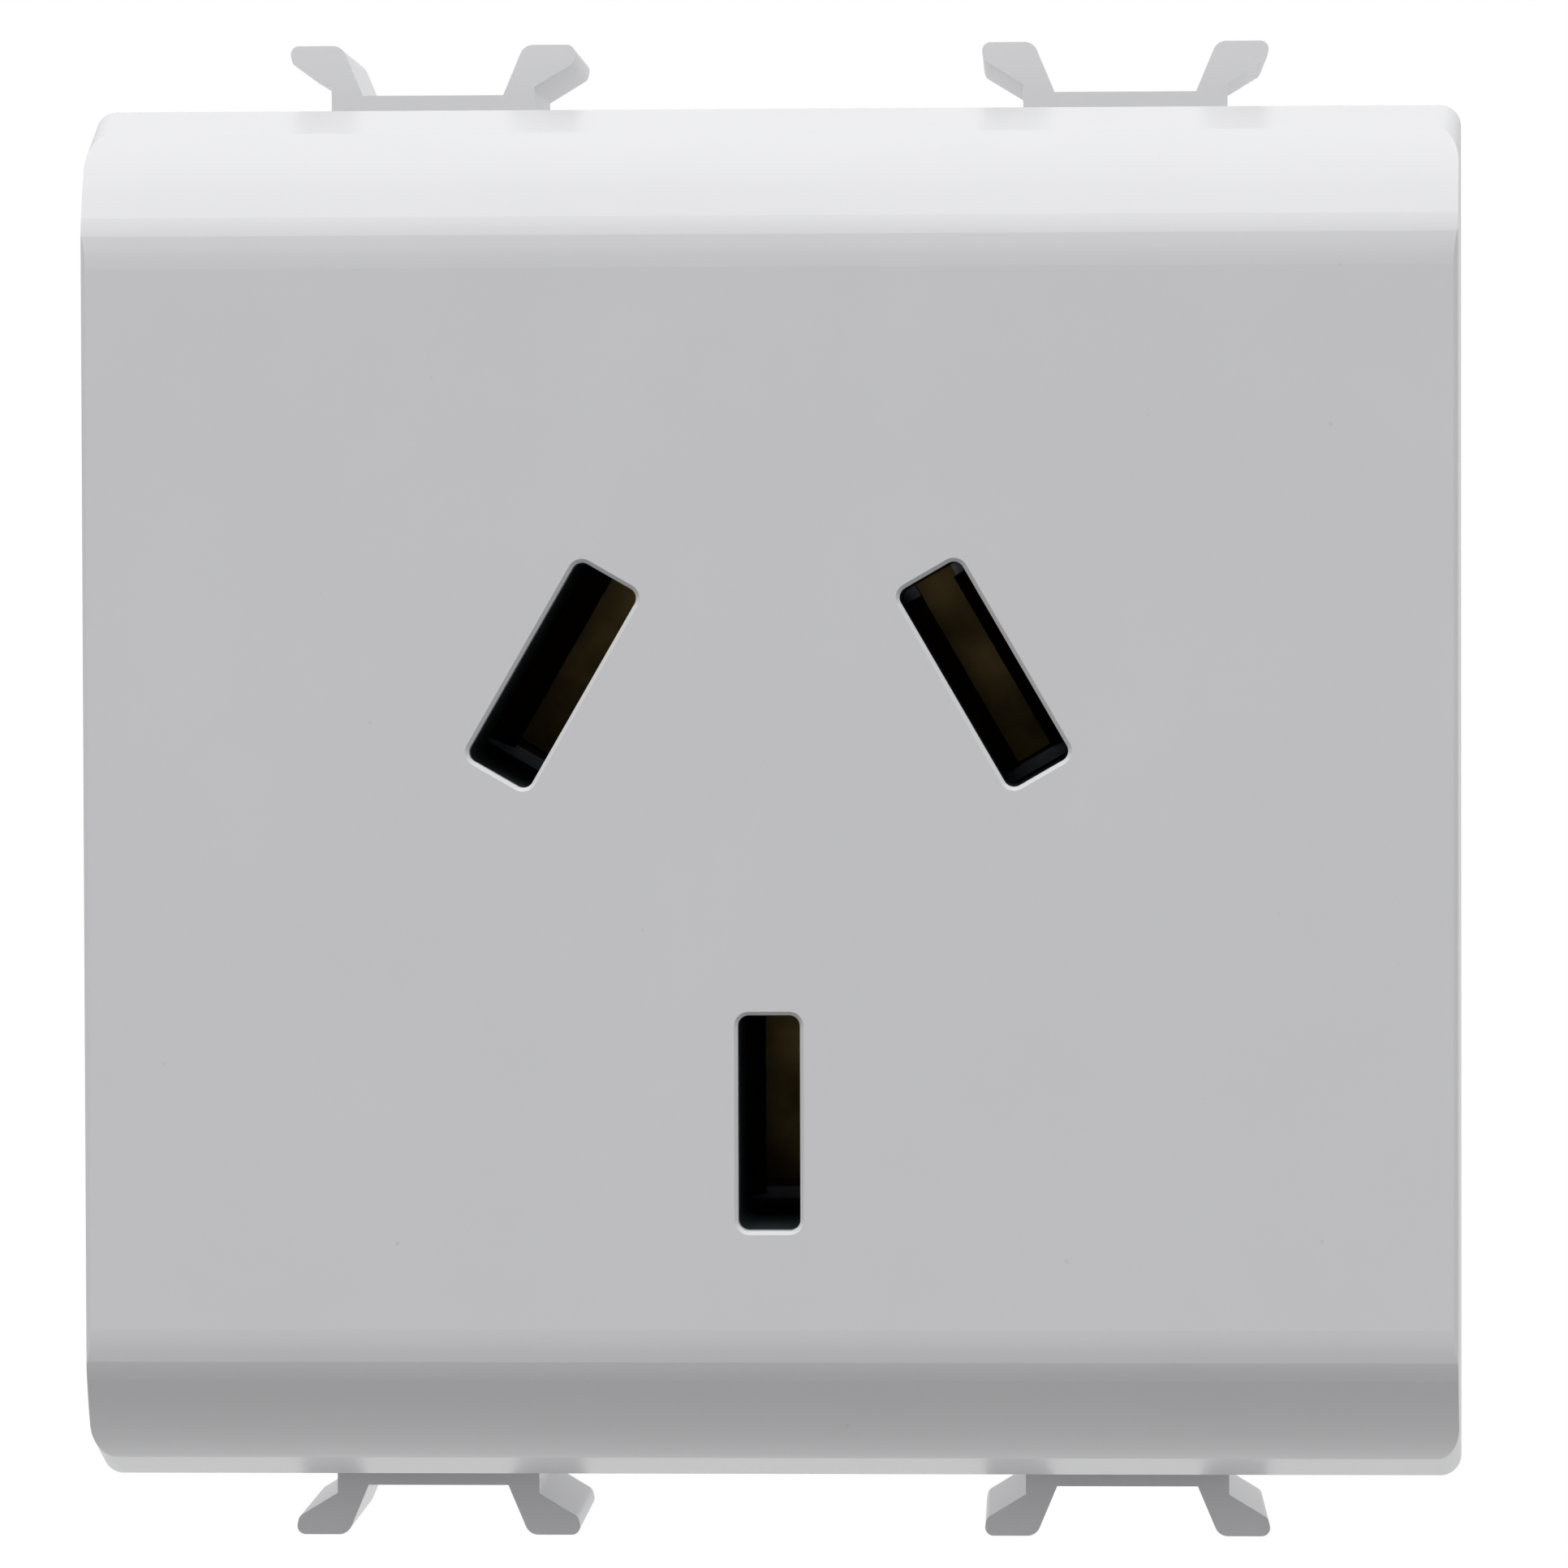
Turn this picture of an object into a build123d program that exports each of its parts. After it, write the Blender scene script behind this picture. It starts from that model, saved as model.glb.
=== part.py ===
from build123d import *
from dataclasses import dataclass
from math import cos, radians, sin, tan
import os

# Two-module socket outlet with three flat blade slots. Four pairs of snap ears hold it
# in its mounting frame. Lengths are in millimetres. The origin is the plug's centre on
# the flat of the front, which faces -Y. +Z is up, and the body runs back along +Y.

# Plug pattern: two slanted blades above the plug's centre, an upright earth blade below
blade_pitch = 13.72
blade_rise = 3.96
earth_drop = 14.27
blade_tilt = 30.0
blade_reach = 19.94

# Openings for the blades
slot_length = 7.25
slot_width = 2.28
earth_slot_length = 6.88
earth_slot_width = 1.98
slot_corner = 0.35
slot_edge = 0.12

# Front cover: outline at its rear edge, its drafts and its crowned front
cover_width = 44.9
cover_height = 45.0
cover_depth = 8.0
cover_wall = 2.0
cover_corner = 0.7
cover_inner_corner = 0.5
cover_edge = 0.15
side_draft = 4.2
skirt_draft = 14.0
flat_inset = 5.6
blend_radius = 4.5
blend_sweep = 18.0
crease_round = 2.0
crown_radius = 7.5
crown_start = 30.0
crown_end = 80.0

# Seats behind the slots for the carrier's collars
slot_skin = 0.6
collar_wall = 0.9
seat_clearance = 0.1

# Side catches that hold the cover on the housing
catch_height = 5.0
catch_pitch = 18.0
catch_reach = 0.75
catch_length = 1.8
catch_land = 0.3
catch_rim = 0.8

# Housing, which enters the cover's rear rim
rim_clearance = 0.1
housing_wall = 1.7
housing_inner_corner = 0.5
housing_start = 5.0
back_wall = 1.8
back_edge = 0.8

# Snap ears: each pair leans outwards from one bar, behind the mounting frame's lug
clip_pitch = 23.0
clip_width = 6.76
clip_length = 7.3
clip_front_wall = 1.4
frame_gap = 2.2
bar_rise = 0.67
bar_thickness = 1.2
ear_stem = 1.04
ear_notch = 0.27
ear_height = 1.66
ear_lean = 0.70
ear_round = 0.45
toe_reach = 1.42
toe_rise = 0.79
toe_slant = 0.12
toe_round = 0.28

# Carrier plate behind the cover
carrier_side_gap = 0.4
carrier_margin = 0.2
carrier_thickness = 4.0
carrier_corner = 1.5
sleeve_depth = 8.0
sleeve_wall = 1.0
sleeve_clearance = 0.15

# Twin-leaf contacts
leaf_thickness = 0.7
leaf_length = 6.6
leaf_half_width = 1.6
leaf_straight = 15.8
leaf_bend = 0.5
pinch_gap = 1.2
pinch_depth = 12.9
mouth_gap = 3.1
mouth_depth = 10.4
reach_clearance = 0.4
tail_margin = 0.5

# Steel bands that back the leaves
band_thickness = 0.4
band_tail_gap = 0.74
band_length = 3.4
band_clearance = 0.06
band_slit = 1.4

# Terminal blocks and their chambers
terminal_width = 7.5
terminal_height = 8.0
terminal_length = 9.5
terminal_edge = 0.4
line_terminal_x = 11.0
line_terminal_inset = 8.4
earth_terminal_inset = 5.1
wire_bore = 3.2
wire_bore_depth = 8.0
bore_offset = 1.2
terminal_gap = 0.2
chamber_clearance = 0.15
chamber_wall = 1.2
chamber_depth = 8.0
wire_entry = 4.6
entry_funnel = 5.8
entry_angle = 90.0

# Clamp screws, backed off so that a wire can go in
clamp_thread = 2.9
thread_clearance = 0.05
clamp_head = 4.6
clamp_head_height = 1.8
clamp_back_off = 0.7
clamp_tip_gap = 0.25
clamp_edge = 0.3
driver_slot_width = 0.8
driver_slot_depth = 0.9
driver_clearance = 0.25

# Rivets that hold the contacts' tails to the blocks
rivet_shank = 1.7
rivet_head = 2.8
rivet_head_height = 0.5
rivet_depth = 2.2
rivet_offset = 2.4
rivet_clearance = 0.05

# Screws and posts that hold the carrier to the housing
post_inset = 3.4
post_z = -8.0
post_width = 5.0
rib_width = 2.0
carrier_screw_shank = 1.9
carrier_screw_head = 3.8
carrier_screw_head_height = 1.6
carrier_screw_length = 9.0
carrier_screw_edge = 0.4
screw_clearance = 0.05
screw_sink = 0.2
cross_width = 0.6
cross_span = 2.4
cross_depth = 0.7

# Sizes that follow from the ones above
side_run = tan(radians(side_draft))
skirt_run = tan(radians(skirt_draft))
front_width = cover_width - 2 * cover_depth * side_run
front_height = cover_height - 2 * cover_depth * skirt_run
flat_height = cover_height - 2 * flat_inset
crease_height = flat_height / 2 + blend_radius * sin(radians(blend_sweep))
rim_length = cover_depth - housing_start
housing_width = cover_width - 2 * (cover_wall + rim_clearance + rim_length * side_run)
housing_height = cover_height - 2 * (cover_wall + rim_clearance + rim_length * skirt_run)
inner_width = housing_width - 2 * housing_wall
inner_height = housing_height - 2 * housing_wall
catch_end = cover_depth - catch_rim
catch_start = catch_end - catch_length
clip_start = cover_depth + frame_gap
bar_outside = cover_height / 2 + bar_rise
clip_base = (housing_height - housing_wall) / 2
carrier_front = cover_wall
carrier_back = carrier_front + carrier_thickness
carrier_width = inner_width - 2 * carrier_side_gap
carrier_height = flat_height - 2 * carrier_margin
collar_front = slot_skin + seat_clearance
tail_front = blade_reach + reach_clearance
band_depth = tail_front - band_tail_gap - band_length
contact_back = tail_front + leaf_thickness
clamp_depth = contact_back + terminal_length / 2
terminal_back = contact_back + terminal_length
back_inside = terminal_back + terminal_gap
housing_depth = back_inside + back_wall
leaf_outside = leaf_half_width + leaf_thickness / 2
mouth_outside = mouth_gap / 2 + leaf_thickness
line_terminal_z = inner_height / 2 - line_terminal_inset
earth_terminal_z = earth_terminal_inset - inner_height / 2
post_x = inner_width / 2 - post_inset
screw_seat = carrier_front + carrier_screw_head_height + screw_sink
screw_tip = screw_seat + carrier_screw_length

# Planes seen from the front: local x is X and local y is Z
front_plane = Plane.XZ
back_plane = Plane(origin=(0, housing_depth, 0), x_dir=(1, 0, 0), z_dir=(0, 1, 0))


@dataclass
class Pole:
    """One contact: where its blade goes in and where its wire is clamped."""

    name: str
    blade: tuple
    tilt: float
    slot: tuple
    terminal: tuple
    screw_side: int

    def place(self):
        """The blade's place on the front plane, turned with the blade."""
        return Location((*self.blade, 0), (0, 0, self.tilt))

    def leaf_plane(self):
        """Plane across the blade: local x spans its thickness and local y is its depth."""
        turn = radians(self.tilt)
        across = (cos(turn), 0, sin(turn))
        along = (-sin(turn), 0, cos(turn))
        return Plane(origin=(self.blade[0], 0, self.blade[1]), x_dir=across, z_dir=along)

    def bore(self):
        """Centre of the wire's bore, off the block's middle, away from the screw."""
        return (self.terminal[0], self.terminal[1] - self.screw_side * bore_offset)

    def rivet(self):
        """Centre of the tail's rivet, between the bore and the block's screw side."""
        return (self.terminal[0], self.terminal[1] + self.screw_side * rivet_offset)


line_slot = (slot_width, slot_length)
earth_slot = (earth_slot_width, earth_slot_length)
poles = [
    Pole("live", (-blade_pitch / 2, blade_rise), -blade_tilt, line_slot,
         (-line_terminal_x, line_terminal_z), 1),
    Pole("neutral", (blade_pitch / 2, blade_rise), blade_tilt, line_slot,
         (line_terminal_x, line_terminal_z), 1),
    Pole("earth", (0, blade_rise - earth_drop), 0, earth_slot,
         (0, earth_terminal_z), -1),
]
posts = {"left": -post_x, "right": post_x}


def depth_plane(depth):
    """Plane that faces the front at the given depth behind it."""
    return front_plane.offset(-depth)


def blade_slots():
    """The three blade openings."""
    with BuildSketch() as slots:
        for pole in poles:
            with Locations(pole.place()):
                RectangleRounded(*pole.slot, slot_corner)
    return slots.sketch


def collars(clearance):
    """The carrier's square-cornered collars round the slots, grown by the clearance."""
    growth = 2 * (collar_wall + clearance)
    with BuildSketch() as outlines:
        for pole in poles:
            with Locations(pole.place()):
                Rectangle(pole.slot[0] + growth, pole.slot[1] + growth)
    return outlines.sketch


def cover_form(inset, corner):
    """The cover's drafted outline and its front profile, all set in by the inset.

    The flat blends into a crease on each side, where the roll starts at a steeper angle
    and runs on to the drafted skirt.
    """
    with BuildPart() as form:
        with BuildSketch(Plane.YZ):
            with BuildLine():
                flat = Line((inset, 0), (inset, flat_height / 2))
                blend = JernArc(flat @ 1, (0, 1), blend_radius - inset, -blend_sweep)
                rise = (sin(radians(crown_start)), cos(radians(crown_start)))
                roll = JernArc(blend @ 1, rise, crown_radius - inset, crown_start - crown_end)
                shoulder = Line(roll @ 1, ((roll @ 1).X, cover_height))
                top = Line(shoulder @ 1, (cover_depth, cover_height))
                Line(top @ 1, (cover_depth, 0))
                mirror(about=Plane.XZ)
            make_face()
            with BuildLine():
                Polyline(
                    (0, 0),
                    (0, front_height / 2 - inset),
                    (cover_depth, cover_height / 2 - inset),
                    (cover_depth, 0),
                )
                mirror(about=Plane.XZ)
            make_face(mode=Mode.INTERSECT)
        extrude(amount=cover_width, both=True)
        with BuildSketch(Plane.XY):
            with BuildLine():
                Polyline(
                    (0, 0),
                    (front_width / 2 - cover_edge - inset, 0),
                    (front_width / 2 + cover_edge * side_run - inset, cover_edge),
                    (cover_width / 2 - inset, cover_depth),
                    (0, cover_depth),
                )
                mirror(about=Plane.YZ)
            make_face()
        extrude(amount=cover_height, both=True, mode=Mode.INTERSECT)
        straight = form.edges().filter_by(GeomType.LINE)
        fillet(straight.filter_by(lambda edge: abs(edge.tangent_at(0.5).Y) > 0.5), corner)
    return form.part


def clip_profile():
    """Front view of one clip: its bar and the two ears that lean out from its ends."""
    half = clip_width / 2
    ear_end = bar_outside + ear_height
    notch = bar_outside + ear_notch
    with BuildSketch() as profile:
        with BuildLine():
            FilletPolyline(
                (0, clip_base),
                (half, clip_base),
                (half, notch),
                (half + toe_reach - toe_slant, notch + toe_rise),
                (half + toe_reach, ear_end),
                (half - ear_stem + ear_lean, ear_end),
                (half - ear_stem, bar_outside),
                (0, bar_outside),
                radius=[0, 0, toe_round, toe_round, ear_round, 0],
            )
            mirror(about=Plane.YZ)
        make_face()
    return profile.sketch


os.makedirs("parts", exist_ok=True)

# Front cover: crowned shell with the blade slots, hollow behind
with BuildPart() as front_cover:
    add(cover_form(0, cover_corner))
    level_lines = front_cover.edges().filter_by(Axis.X)
    fillet(level_lines.filter_by(lambda edge: abs(abs(edge.center().Z) - crease_height) < 0.01), crease_round)
    add(cover_form(cover_wall, cover_inner_corner), mode=Mode.SUBTRACT)
    with BuildSketch(front_plane):
        add(blade_slots())
    extrude(amount=-cover_wall, mode=Mode.SUBTRACT)
    front = front_cover.faces().sort_by(Axis.Y)[0]
    chamfer([edge for wire in front.inner_wires() for edge in wire.edges()], slot_edge)
    with BuildSketch(depth_plane(slot_skin)):
        add(collars(seat_clearance))
    extrude(amount=slot_skin - cover_wall, mode=Mode.SUBTRACT)
    with Locations(
        (0, (catch_start + catch_end) / 2, -catch_pitch / 2),
        (0, (catch_start + catch_end) / 2, catch_pitch / 2),
    ):
        Box(
            housing_width + 2 * (catch_reach + seat_clearance),
            catch_length + 2 * seat_clearance,
            catch_height + 2 * seat_clearance,
            mode=Mode.SUBTRACT,
        )
front_cover.part.label = "front_cover"
export_step(front_cover.part, "parts/front_cover.step")

# Snap clips: one bar with two ears, open behind, mirrored to all four places
with BuildPart() as clips:
    with BuildSketch(depth_plane(clip_start)):
        with Locations((clip_pitch / 2, 0)):
            add(clip_profile())
    extrude(amount=-clip_length)
    with BuildSketch(depth_plane(clip_start + clip_front_wall)):
        hollow_height = bar_outside - bar_thickness - housing_height / 2
        with Locations((clip_pitch / 2, housing_height / 2)):
            Rectangle(clip_width - 2 * ear_stem, hollow_height, align=(Align.CENTER, Align.MIN))
    extrude(amount=clip_front_wall - clip_length, mode=Mode.SUBTRACT)
    mirror(about=Plane.YZ)
    mirror(about=Plane.XY)

# Housing: tub behind the cover, with its clips, catches, terminal chambers and posts
chamber_inner = (terminal_width + 2 * chamber_clearance, terminal_height + 2 * chamber_clearance)
chamber_outer = (chamber_inner[0] + 2 * chamber_wall, chamber_inner[1] + 2 * chamber_wall)
with BuildPart() as housing:
    with BuildSketch(depth_plane(housing_start)):
        RectangleRounded(housing_width, housing_height, housing_wall + housing_inner_corner)
    extrude(amount=housing_start - housing_depth)
    chamfer(housing.faces().sort_by(Axis.Y)[-1].edges(), back_edge)
    with BuildSketch(depth_plane(housing_start)):
        RectangleRounded(inner_width, inner_height, housing_inner_corner)
    extrude(amount=housing_start - back_inside, mode=Mode.SUBTRACT)
    add(clips.part)
    with BuildSketch(depth_plane(back_inside)):
        for pole in poles:
            with Locations(pole.terminal):
                Rectangle(*chamber_outer)
    extrude(amount=chamber_depth)
    with BuildSketch(depth_plane(back_inside)):
        for pole in poles:
            with Locations(pole.terminal):
                Rectangle(*chamber_inner)
    extrude(amount=chamber_depth, mode=Mode.SUBTRACT)
    with BuildSketch(depth_plane(back_inside)):
        with Locations(*[(x, post_z) for x in posts.values()]):
            Circle(post_width / 2)
        for x in posts.values():
            with Locations((x, post_z)):
                reach = inner_width / 2 - post_x
                Rectangle(reach, rib_width, align=(Align.MIN if x > 0 else Align.MAX, Align.CENTER))
    extrude(amount=back_inside - carrier_back)
    with BuildSketch(depth_plane(carrier_back)):
        with Locations(*[(x, post_z) for x in posts.values()]):
            Circle(carrier_screw_shank / 2 + screw_clearance)
    extrude(amount=carrier_back - screw_tip - screw_sink, mode=Mode.SUBTRACT)
    for pole in poles:
        with BuildSketch(Plane.XY.offset(pole.terminal[1])):
            with Locations((pole.terminal[0], clamp_depth)):
                Circle(clamp_head / 2 + driver_clearance)
        extrude(amount=pole.screw_side * housing_height, mode=Mode.SUBTRACT)
    with Locations(back_plane):
        with Locations(*[(pole.bore()[0], -pole.bore()[1]) for pole in poles]):
            CounterSinkHole(wire_entry / 2, entry_funnel / 2, back_wall, entry_angle)
    for z in (-catch_pitch / 2, catch_pitch / 2):
        with BuildSketch(Plane.XY.offset(z)):
            with BuildLine():
                lug_foot = (housing_width - housing_wall) / 2
                lug_top = housing_width / 2 + catch_reach
                Polyline(
                    (lug_foot, catch_start),
                    (housing_width / 2, catch_start),
                    (lug_top, catch_end - catch_land),
                    (lug_top, catch_end),
                    (lug_foot, catch_end),
                    close=True,
                )
            make_face()
            mirror(about=Plane.YZ)
        extrude(amount=catch_height / 2, both=True)
housing.part.label = "housing"
export_step(housing.part, "parts/housing.step")

# Contact carrier: black plate with collars that enter the cover and sleeves behind
with BuildPart() as contact_carrier:
    with BuildSketch(depth_plane(carrier_front)):
        RectangleRounded(carrier_width, carrier_height, carrier_corner)
    extrude(amount=-carrier_thickness)
    with BuildSketch(depth_plane(carrier_front)):
        add(collars(0))
    extrude(amount=carrier_front - collar_front)
    sleeve_width = 2 * (mouth_outside + sleeve_clearance)
    sleeve_length = slot_length + 2 * sleeve_clearance
    with BuildSketch(depth_plane(carrier_back)):
        for pole in poles:
            with Locations(pole.place()):
                Rectangle(sleeve_width + 2 * sleeve_wall, sleeve_length + 2 * sleeve_wall)
    extrude(amount=-sleeve_depth)
    with BuildSketch(depth_plane(carrier_back)):
        for pole in poles:
            with Locations(pole.place()):
                Rectangle(sleeve_width, sleeve_length)
    extrude(amount=-sleeve_depth, mode=Mode.SUBTRACT)
    with BuildSketch(depth_plane(collar_front)):
        add(blade_slots())
    extrude(amount=collar_front - carrier_back, mode=Mode.SUBTRACT)
    with Locations(depth_plane(carrier_front)):
        with Locations(*[(x, post_z) for x in posts.values()]):
            CounterBoreHole(
                carrier_screw_shank / 2 + screw_clearance,
                carrier_screw_head / 2 + screw_clearance,
                carrier_screw_head_height + screw_sink,
                carrier_thickness,
            )
contact_carrier.part.label = "contact_carrier"
export_step(contact_carrier.part, "parts/contact_carrier.step")

# Contacts: two sprung leaves folded up from one strip, whose tail runs to the terminal
for pole in poles:
    with BuildPart() as contact:
        with BuildSketch(pole.leaf_plane()):
            with BuildLine():
                FilletPolyline(
                    (0, tail_front + leaf_thickness / 2),
                    (leaf_half_width, tail_front + leaf_thickness / 2),
                    (leaf_half_width, leaf_straight),
                    ((pinch_gap + leaf_thickness) / 2, pinch_depth),
                    ((mouth_gap + leaf_thickness) / 2, mouth_depth),
                    radius=leaf_bend,
                )
                mirror(about=Plane.YZ)
            trace(line_width=leaf_thickness)
        extrude(amount=leaf_length / 2, both=True)
        with BuildSketch(depth_plane(tail_front)):
            with Locations(pole.place()):
                Rectangle(2 * leaf_half_width, leaf_length)
            with Locations(pole.terminal):
                Rectangle(terminal_width - 2 * tail_margin, terminal_height - 2 * tail_margin)
            make_hull()
        extrude(amount=-leaf_thickness)
        with BuildSketch(depth_plane(tail_front)):
            with Locations(pole.rivet()):
                Circle(rivet_shank / 2 + rivet_clearance)
        extrude(amount=-leaf_thickness, mode=Mode.SUBTRACT)
    contact.part.label = f"{pole.name}_contact"
    export_step(contact.part, f"parts/{pole.name}_contact.step")

# Contact springs: split steel bands around the leaves
for pole in poles:
    band_width = 2 * (leaf_outside + band_clearance)
    band_span = leaf_length + 2 * band_clearance
    with BuildPart() as contact_spring:
        with BuildSketch(depth_plane(band_depth)):
            with Locations(pole.place()):
                Rectangle(band_width + 2 * band_thickness, band_span + 2 * band_thickness)
                Rectangle(band_width, band_span, mode=Mode.SUBTRACT)
                with Locations((0, band_span / 2)):
                    Rectangle(band_slit, 4 * band_thickness, mode=Mode.SUBTRACT)
        extrude(amount=-band_length)
    contact_spring.part.label = f"{pole.name}_contact_spring"
    export_step(contact_spring.part, f"parts/{pole.name}_contact_spring.step")

# Terminals: brass blocks with a blind bore for the wire and a threaded hole across it
for pole in poles:
    with BuildPart() as terminal:
        with BuildSketch(depth_plane(contact_back)):
            with Locations(pole.terminal):
                Rectangle(terminal_width, terminal_height)
        extrude(amount=-terminal_length)
        chamfer(terminal.edges().filter_by(Axis.Y), terminal_edge)
        with BuildSketch(depth_plane(terminal_back)):
            with Locations(pole.bore()):
                Circle(wire_bore / 2)
        extrude(amount=wire_bore_depth, mode=Mode.SUBTRACT)
        with BuildSketch(Plane.XY.offset(pole.bore()[1])):
            with Locations((pole.terminal[0], clamp_depth)):
                Circle(clamp_thread / 2 + thread_clearance)
        extrude(amount=pole.screw_side * terminal_height, mode=Mode.SUBTRACT)
        with BuildSketch(depth_plane(contact_back)):
            with Locations(pole.rivet()):
                Circle(rivet_shank / 2 + rivet_clearance)
        extrude(amount=-rivet_depth, mode=Mode.SUBTRACT)
    terminal.part.label = f"{pole.name}_terminal"
    export_step(terminal.part, f"parts/{pole.name}_terminal.step")

# Clamp screws: slotted cheese heads outside the blocks, tips clear of the wire bores
for pole in poles:
    side = pole.screw_side
    tip = pole.bore()[1] + side * (wire_bore / 2 + clamp_tip_gap)
    seat = pole.terminal[1] + side * (terminal_height / 2 + clamp_back_off)
    with BuildPart() as terminal_screw:
        with BuildSketch(Plane.XY.offset(tip)):
            with Locations((pole.terminal[0], clamp_depth)):
                Circle(clamp_thread / 2)
        extrude(amount=seat - tip)
        with BuildSketch(Plane.XY.offset(seat)):
            with Locations((pole.terminal[0], clamp_depth)):
                Circle(clamp_head / 2)
        extrude(amount=side * clamp_head_height)
        ends = terminal_screw.edges().filter_by(GeomType.CIRCLE).sort_by(Axis.Z)
        chamfer(ends[-1 if side > 0 else 0], clamp_edge)
        with BuildSketch(Plane.XY.offset(seat + side * clamp_head_height)):
            with Locations((pole.terminal[0], clamp_depth)):
                Rectangle(clamp_head, driver_slot_width)
        extrude(amount=-side * driver_slot_depth, mode=Mode.SUBTRACT)
    terminal_screw.part.label = f"{pole.name}_terminal_screw"
    export_step(terminal_screw.part, f"parts/{pole.name}_terminal_screw.step")

# Rivets: flat heads on the tails, shanks in the blocks
for pole in poles:
    with BuildPart() as rivet:
        with BuildSketch(depth_plane(tail_front)):
            with Locations(pole.rivet()):
                Circle(rivet_head / 2)
        extrude(amount=rivet_head_height)
        with BuildSketch(depth_plane(tail_front)):
            with Locations(pole.rivet()):
                Circle(rivet_shank / 2)
        extrude(amount=rivet_clearance - leaf_thickness - rivet_depth)
    rivet.part.label = f"{pole.name}_rivet"
    export_step(rivet.part, f"parts/{pole.name}_rivet.step")

# Carrier screws: pan heads with a cross recess, sunk in the carrier's counterbores
for hand, x in posts.items():
    with BuildPart() as carrier_screw:
        with BuildSketch(depth_plane(screw_seat)):
            with Locations((x, post_z)):
                Circle(carrier_screw_head / 2)
        extrude(amount=carrier_screw_head_height)
        chamfer(carrier_screw.faces().sort_by(Axis.Y)[0].edges(), carrier_screw_edge)
        with BuildSketch(depth_plane(screw_seat - carrier_screw_head_height)):
            with Locations((x, post_z)):
                Rectangle(cross_span, cross_width)
                Rectangle(cross_width, cross_span)
        extrude(amount=-cross_depth, mode=Mode.SUBTRACT)
        with BuildSketch(depth_plane(screw_seat)):
            with Locations((x, post_z)):
                Circle(carrier_screw_shank / 2)
        extrude(amount=-carrier_screw_length)
    carrier_screw.part.label = f"carrier_screw_{hand}"
    export_step(carrier_screw.part, f"parts/carrier_screw_{hand}.step")
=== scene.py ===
from math import pi, radians

import bpy
from mathutils import Matrix, Vector


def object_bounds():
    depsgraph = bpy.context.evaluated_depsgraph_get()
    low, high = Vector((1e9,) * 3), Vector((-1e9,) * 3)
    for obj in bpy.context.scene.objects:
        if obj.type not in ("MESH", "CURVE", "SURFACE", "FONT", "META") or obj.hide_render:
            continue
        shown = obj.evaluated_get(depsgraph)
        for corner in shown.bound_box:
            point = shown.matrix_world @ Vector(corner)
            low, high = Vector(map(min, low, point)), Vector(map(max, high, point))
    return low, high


# Socket outlet, two modules wide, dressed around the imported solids. Lengths are in metres
# in the solids' own frame: the front faces -Y and +Z is up.

MM = 0.001

# Camera: where the photograph was taken from, its turn, tilt and roll, and its lens
camera_place = Vector((8.69, -214.94, 5.71)) * MM
camera_turn = radians(2.18)
camera_tilt = radians(-1.39)
camera_roll = radians(-0.16)
camera_lens = 155.5
sensor_width = 36.0
near_clip = 0.01

# Soft studio light: a key from above the front, and light from all round, more from the front.
# A turn is where the room's level changes from its front's to its back's, as the Y of the
# direction that a ray goes in. Gloss sees a dimmer room on the camera's side.
key_elevation = radians(63)
key_azimuth = radians(-4)
key_distance = 0.70
key_size = 0.40
key_level = 0.89
front_level = 0.87
back_level = 0.30
light_turn = (-0.3, 0.4)
front_gloss = 0.20
gloss_turn = (-0.3, 0.2)
white = (1.0, 1.0, 1.0, 1.0)
white_level = 1.0

# Floor, clear of the snap ears, because the outlet is held in its mounting frame. It is darker
# in front of the outlet than behind it, and what the camera sees of it runs out to white.
floor_drop = 45 * MM
floor_width = 6.0
floor_near = "#7C7C7C"
floor_far = "#F8F8F8"
floor_turn = (-0.035, 0.025)
floor_fill = 0.15
floor_glow = 0.80
glow_to = 0.10
white_from = 0.40

# Patterns that the finishes share, by their real sizes
mottle_size = 7 * MM
speck_spacing = 2.6 * MM
speck_size = 0.09 * MM
# Edges turn paler over this width and share: partly wear, partly a painted highlight of their small
# roundings
worn_highlit_edge = 0.12 * MM
wear_and_highlight_share = 0.25
tarnish_size = 2.2 * MM

# Most of a noise's values lie between these, and a surface's normal leaves its rounded one
# from the first of the other two, at a flat, to the second, on an edge
noise_low, noise_high = 0.3, 0.7
flat_facing, edge_facing = 0.995, 0.85

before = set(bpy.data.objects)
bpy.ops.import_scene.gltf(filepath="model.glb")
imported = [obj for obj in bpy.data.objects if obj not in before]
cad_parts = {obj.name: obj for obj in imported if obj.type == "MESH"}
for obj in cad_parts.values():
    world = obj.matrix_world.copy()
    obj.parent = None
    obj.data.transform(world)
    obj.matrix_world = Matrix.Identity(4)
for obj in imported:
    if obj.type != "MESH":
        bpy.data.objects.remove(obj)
cad_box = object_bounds()
bpy.ops.object.select_all(action="DESELECT")


def linear(colour):
    """An sRGB hex colour as linear red, green, blue and alpha."""
    channels = [int(colour[i:i + 2], 16) / 255 for i in (1, 3, 5)]
    curved = [c / 12.92 if c <= 0.04045 else ((c + 0.055) / 1.055) ** 2.4 for c in channels]
    return (*curved, 1.0)


def add_node(tree, kind, values=None, links=None, **settings):
    """One node with its settings, its fixed inputs and its incoming links."""
    node = tree.nodes.new(kind)
    for name, value in settings.items():
        setattr(node, name, value)
    for socket, value in (values or {}).items():
        node.inputs[socket].default_value = value
    for socket, source in (links or {}).items():
        tree.links.new(source, node.inputs[socket])
    return node


def new_tree(name):
    """An empty material with its output node, and the node tree that it holds."""
    material = bpy.data.materials.new(name)
    material.use_nodes = True
    tree = material.node_tree
    tree.nodes.clear()
    output = add_node(tree, "ShaderNodeOutputMaterial")
    return material, tree, output


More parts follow.
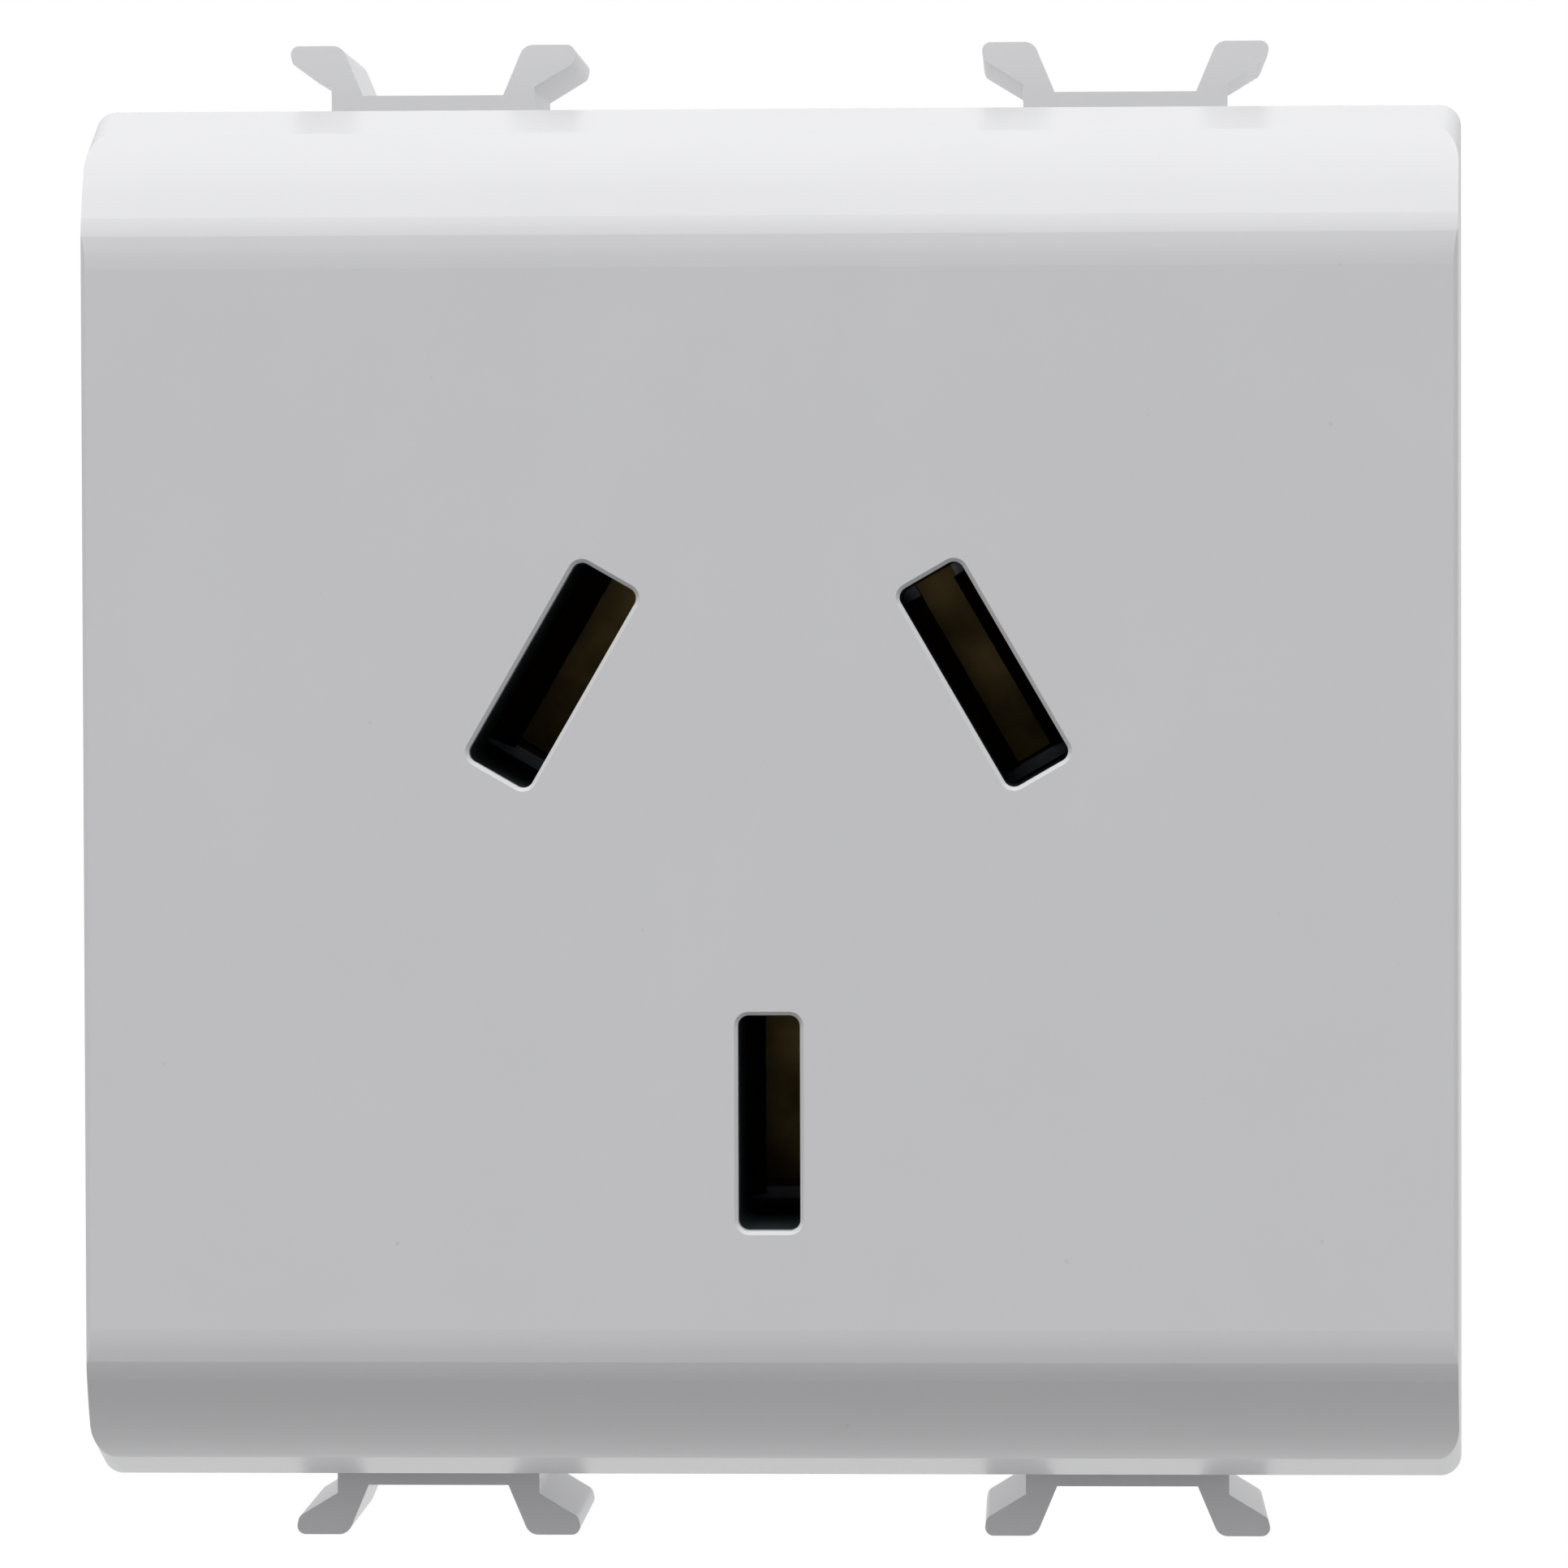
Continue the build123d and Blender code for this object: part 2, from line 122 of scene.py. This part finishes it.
def edge_mask(tree, width):
    """1 along the piece's edges and 0 on its flats, over the given width."""
    rounded = add_node(tree, "ShaderNodeBevel", {"Radius": width}, samples=6)
    flat = add_node(tree, "ShaderNodeNewGeometry")
    facing = add_node(
        tree, "ShaderNodeVectorMath",
        links={0: rounded.outputs["Normal"], 1: flat.outputs["Normal"]},
        operation="DOT_PRODUCT",
    )
    return add_node(
        tree, "ShaderNodeMapRange",
        {"From Min": flat_facing, "From Max": edge_facing, "To Min": 0.0, "To Max": 1.0},
        {"Value": facing.outputs["Value"]},
    ).outputs["Result"]


def specks(tree, place, spacing, size):
    """Sparse round specks: 1 inside a speck and 0 elsewhere."""
    cells = add_node(
        tree, "ShaderNodeTexVoronoi", {"Scale": 1 / spacing, "Randomness": 1.0}, {"Vector": place},
    )
    return add_node(
        tree, "ShaderNodeMapRange",
        {"From Min": size / spacing, "From Max": 0.5 * size / spacing, "To Min": 0.0, "To Max": 1.0},
        {"Value": cells.outputs["Distance"]},
    ).outputs["Result"]


def moulded_plastic(name, pale, dark, worn, roughness, grain, grain_depth, speck_share):
    """Injection-moulded thermoplastic: spark-eroded grain, faint mottling, dust specks and paler
    edges, which are partly wear and partly a painted highlight.
    """
    material, tree, output = new_tree(name)
    place = add_node(tree, "ShaderNodeTexCoord").outputs["Object"]
    mottle = add_node(
        tree, "ShaderNodeTexNoise", {"Scale": 1 / mottle_size, "Detail": 4.0, "Roughness": 0.6},
        {"Vector": place},
    )
    body = add_node(
        tree, "ShaderNodeMix", {"A": linear(dark), "B": linear(pale)},
        {"Factor": mottle.outputs["Fac"]}, data_type="RGBA",
    )
    dust = specks(tree, place, speck_spacing, speck_size)
    dusty = add_node(tree, "ShaderNodeMath", {1: speck_share}, {0: dust}, operation="MULTIPLY")
    specked = add_node(
        tree, "ShaderNodeMix", {"B": linear(worn)},
        {"Factor": dusty.outputs["Value"], "A": body.outputs["Result"]}, data_type="RGBA",
    )
    # Edges are mixed toward the pale colour: partly rubbed wear, partly a painted highlight where
    # small roundings would catch the light
    edges = edge_mask(tree, worn_highlit_edge)
    rubbed_and_highlit = add_node(tree, "ShaderNodeMath", {1: wear_and_highlight_share}, {0: edges}, operation="MULTIPLY")
    coloured = add_node(
        tree, "ShaderNodeMix", {"B": linear(pale)},
        {"Factor": rubbed_and_highlit.outputs["Value"], "A": specked.outputs["Result"]}, data_type="RGBA",
    )
    fine = add_node(
        tree, "ShaderNodeTexNoise", {"Scale": 1 / grain, "Detail": 3.0, "Roughness": 0.65},
        {"Vector": place},
    )
    relief = add_node(
        tree, "ShaderNodeBump", {"Strength": 1.0, "Distance": grain_depth},
        {"Height": fine.outputs["Fac"]},
    )
    sheen = add_node(
        tree, "ShaderNodeMapRange",
        {
            "From Min": noise_low, "From Max": noise_high,
            "To Min": roughness - 0.01, "To Max": roughness + 0.02,
        },
        {"Value": mottle.outputs["Fac"]},
    )
    shader = add_node(
        tree, "ShaderNodeBsdfPrincipled", {"IOR": 1.5},
        {
            "Base Color": coloured.outputs["Result"],
            "Roughness": sheen.outputs["Result"],
            "Normal": relief.outputs["Normal"],
        },
    )
    tree.links.new(shader.outputs["BSDF"], output.inputs["Surface"])
    return material


def worked_metal(name, bright, dull, roughness, stretch, line, line_depth):
    """Bare or plated metal: fine lines from rolling or cutting, with a duller tarnish between."""
    material, tree, output = new_tree(name)
    place = add_node(tree, "ShaderNodeTexCoord").outputs["Object"]
    tarnish = add_node(
        tree, "ShaderNodeTexNoise", {"Scale": 1 / tarnish_size, "Detail": 5.0, "Roughness": 0.62},
        {"Vector": place},
    )
    colour = add_node(
        tree, "ShaderNodeMix", {"A": linear(bright), "B": linear(dull)},
        {"Factor": tarnish.outputs["Fac"]}, data_type="RGBA",
    )
    drawn = add_node(tree, "ShaderNodeMapping", {"Scale": stretch}, {"Vector": place})
    lines = add_node(
        tree, "ShaderNodeTexNoise", {"Scale": 1 / line, "Detail": 2.0},
        {"Vector": drawn.outputs["Vector"]},
    )
    relief = add_node(
        tree, "ShaderNodeBump", {"Strength": 1.0, "Distance": line_depth},
        {"Height": lines.outputs["Fac"]},
    )
    polish = add_node(
        tree, "ShaderNodeMapRange",
        {
            "From Min": noise_low, "From Max": noise_high,
            "To Min": roughness - 0.06, "To Max": roughness + 0.1,
        },
        {"Value": tarnish.outputs["Fac"]},
    )
    shader = add_node(
        tree, "ShaderNodeBsdfPrincipled", {"Metallic": 1.0},
        {
            "Base Color": colour.outputs["Result"],
            "Roughness": polish.outputs["Result"],
            "Normal": relief.outputs["Normal"],
        },
    )
    tree.links.new(shader.outputs["BSDF"], output.inputs["Surface"])
    return material


# Polycarbonate, moulded against a spark-eroded satin tool: an even pale grey with a soft sheen
satin_polycarbonate = moulded_plastic(
    "satin_polycarbonate", "#C5C5C7", "#C0C0C2", "#A9A9AC", 0.32, 0.09 * MM, 0.0012 * MM, 0.35)

# The same polycarbonate from a plainer tool: a little paler and coarser behind the frame
plain_polycarbonate = moulded_plastic(
    "plain_polycarbonate", "#CDCDCF", "#CACACC", "#B0B0B3", 0.30, 0.12 * MM, 0.0016 * MM, 0.2)

# Glass-filled black polyamide: matt and nearly without a highlight
black_polyamide = moulded_plastic(
    "black_polyamide", "#2A3235", "#242B2E", "#3A4245", 0.62, 0.15 * MM, 0.003 * MM, 0.25)

# Rolled brass strip, its colours darkened as painted shade for the deep slots that it sits in, with
# a patchy tarnish: brownish yellow, with fine lines along the roll
shade_darkened_brass = worked_metal(
    "shade_darkened_brass", "#AD9662", "#806B43", 0.42, (1.0, 0.08, 1.0), 0.05 * MM, 0.0006 * MM)

# Sawn and milled brass bar: warm yellow, with lines across the block
milled_brass = worked_metal(
    "milled_brass", "#CFAE62", "#A58343", 0.36, (0.1, 1.0, 1.0), 0.07 * MM, 0.0009 * MM)

# Cold-headed brass wire: smooth and bright
headed_brass = worked_metal(
    "headed_brass", "#DBBA70", "#BA954E", 0.26, (1.0, 1.0, 1.0), 0.12 * MM, 0.0004 * MM)

# Hardened spring steel strip: grey and slightly blue from its heat treatment
spring_steel = worked_metal(
    "spring_steel", "#A3A7B0", "#7D8189", 0.34, (1.0, 0.1, 1.0), 0.05 * MM, 0.0005 * MM)

# Zinc-plated steel: pale, cool and slightly cloudy
zinc_plated_steel = worked_metal(
    "zinc_plated_steel", "#C9CCD0", "#A4A8AD", 0.30, (1.0, 1.0, 1.0), 0.10 * MM, 0.0006 * MM)

finishes = {
    "cover_plastic": satin_polycarbonate,
    "housing_plastic": plain_polycarbonate,
    "carrier_plastic": black_polyamide,
    "contact_brass": shade_darkened_brass,
    "terminal_brass": milled_brass,
    "rivet_brass": headed_brass,
    "spring_steel": spring_steel,
    "screw_steel": zinc_plated_steel,
}


def finish_node(node):
    """Gives a solid the finish of its slot in the record, which its own material is named for."""
    for holder in node.material_slots:
        slot_name = holder.material.name.split(".")[0]
        holder.material = finishes[slot_name]


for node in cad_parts.values():
    finish_node(node)


def background_rays(tree, rays):
    """1 for rays that see the background: the camera's, and those off gloss or through glass."""
    seen = add_node(
        tree, "ShaderNodeMath",
        links={0: rays.outputs["Is Camera Ray"], 1: rays.outputs["Is Transmission Ray"]},
        operation="MAXIMUM",
    )
    return add_node(
        tree, "ShaderNodeMath",
        links={0: seen.outputs["Value"], 1: rays.outputs["Is Glossy Ray"]}, operation="MAXIMUM",
    ).outputs["Value"]


def room_light(tree, depth, turn, front, back):
    """White light whose level runs from the front of the room to its back, over the turn."""
    level = add_node(
        tree, "ShaderNodeMapRange",
        {"From Min": turn[0], "From Max": turn[1], "To Min": front, "To Max": back},
        {"Value": depth},
    )
    return add_node(
        tree, "ShaderNodeBackground", {"Color": white}, {"Strength": level.outputs["Result"]})


def make_world():
    """Soft light on the object and a white background, dim in gloss on the camera's side."""
    world = bpy.data.worlds.new("studio")
    world.use_nodes = True
    tree = world.node_tree
    tree.nodes.clear()
    direction = add_node(tree, "ShaderNodeTexCoord").outputs["Generated"]
    depth = add_node(tree, "ShaderNodeSeparateXYZ", links={0: direction}).outputs["Y"]
    light = room_light(tree, depth, light_turn, front_level, back_level)
    gloss = room_light(tree, depth, gloss_turn, front_gloss, white_level)
    backdrop = add_node(tree, "ShaderNodeBackground", {"Color": white, "Strength": white_level})
    rays = add_node(tree, "ShaderNodeLightPath")
    background = add_node(
        tree, "ShaderNodeMixShader",
        links={0: rays.outputs["Is Glossy Ray"], 1: backdrop.outputs[0], 2: gloss.outputs[0]},
    )
    mixed = add_node(
        tree, "ShaderNodeMixShader",
        links={0: background_rays(tree, rays), 1: light.outputs[0], 2: background.outputs[0]},
    )
    add_node(tree, "ShaderNodeOutputWorld", links={"Surface": mixed.outputs[0]})
    bpy.context.scene.world = world


def make_floor():
    """Pale floor that keeps the object's shadow and runs into the white background."""
    low = cad_box[0].z - floor_drop
    bpy.ops.mesh.primitive_plane_add(size=floor_width, location=(0, 0, low))
    floor = bpy.context.object
    floor.name = "floor"
    material, tree, output = new_tree("pale_floor")
    place = add_node(tree, "ShaderNodeTexCoord").outputs["Object"]
    reach = add_node(tree, "ShaderNodeVectorMath", links={0: place}, operation="LENGTH")
    glow_share = add_node(
        tree, "ShaderNodeMapRange",
        {"From Min": glow_to, "From Max": white_from, "To Min": floor_glow, "To Max": white_level},
        {"Value": reach.outputs["Value"]}, interpolation_type="SMOOTHSTEP",
    )
    rays = add_node(tree, "ShaderNodeLightPath")
    seen = add_node(
        tree, "ShaderNodeMath",
        links={0: background_rays(tree, rays), 1: glow_share.outputs["Result"]},
        operation="MULTIPLY",
    )
    parts = add_node(tree, "ShaderNodeSeparateXYZ", links={0: place})
    depth = add_node(
        tree, "ShaderNodeMapRange", {"From Min": floor_turn[0], "From Max": floor_turn[1]},
        {"Value": parts.outputs["Y"]},
    )
    colour = add_node(
        tree, "ShaderNodeMix", {"A": linear(floor_near), "B": linear(floor_far)},
        {"Factor": depth.outputs["Result"]}, data_type="RGBA",
    )
    shade = add_node(tree, "ShaderNodeBsdfDiffuse", links={"Color": colour.outputs["Result"]})
    # Behind the outlet the floor also glows a little, as a fill light on the outlet's lower edges
    fill_level = add_node(
        tree, "ShaderNodeMath", {1: floor_fill}, {0: depth.outputs["Result"]}, operation="MULTIPLY")
    fill = add_node(
        tree, "ShaderNodeEmission", {"Color": white}, {"Strength": fill_level.outputs["Value"]})
    lit = add_node(tree, "ShaderNodeAddShader", links={0: shade.outputs[0], 1: fill.outputs[0]})
    glow = add_node(tree, "ShaderNodeEmission", {"Color": white, "Strength": white_level})
    mixed = add_node(
        tree, "ShaderNodeMixShader",
        links={0: seen.outputs["Value"], 1: lit.outputs[0], 2: glow.outputs[0]},
    )
    tree.links.new(mixed.outputs[0], output.inputs["Surface"])
    floor.data.materials.append(material)


def make_key():
    """Large soft lamp above the front. Its level is that of a white card that faces it."""
    lamp = bpy.data.lights.new("key", "AREA")
    lamp.shape = "SQUARE"
    lamp.size = key_size
    lamp.energy = key_level * pi ** 2 * key_distance ** 2
    key = bpy.data.objects.new("key", lamp)
    bpy.context.scene.collection.objects.link(key)
    turn = Matrix.Rotation(key_azimuth, 3, "Z") @ Matrix.Rotation(pi / 2 - key_elevation, 3, "X")
    centre = (cad_box[0] + cad_box[1]) / 2
    key.location = centre + turn @ Vector((0, 0, key_distance))
    key.rotation_euler = turn.to_euler()
    key.visible_glossy = False


def make_camera():
    """The photograph's viewpoint."""
    camera = bpy.data.objects.new("camera", bpy.data.cameras.new("camera"))
    bpy.context.scene.collection.objects.link(camera)
    camera.data.lens = camera_lens
    camera.data.sensor_width = sensor_width
    camera.data.clip_start = near_clip
    turn = (
        Matrix.Rotation(camera_turn, 3, "Z")
        @ Matrix.Rotation(pi / 2 + camera_tilt, 3, "X")
        @ Matrix.Rotation(camera_roll, 3, "Z")
    )
    camera.matrix_world = Matrix.Translation(camera_place) @ turn.to_4x4()
    bpy.context.scene.camera = camera


make_world()
make_floor()
make_key()
make_camera()
bpy.context.scene.view_settings.view_transform = "Standard"
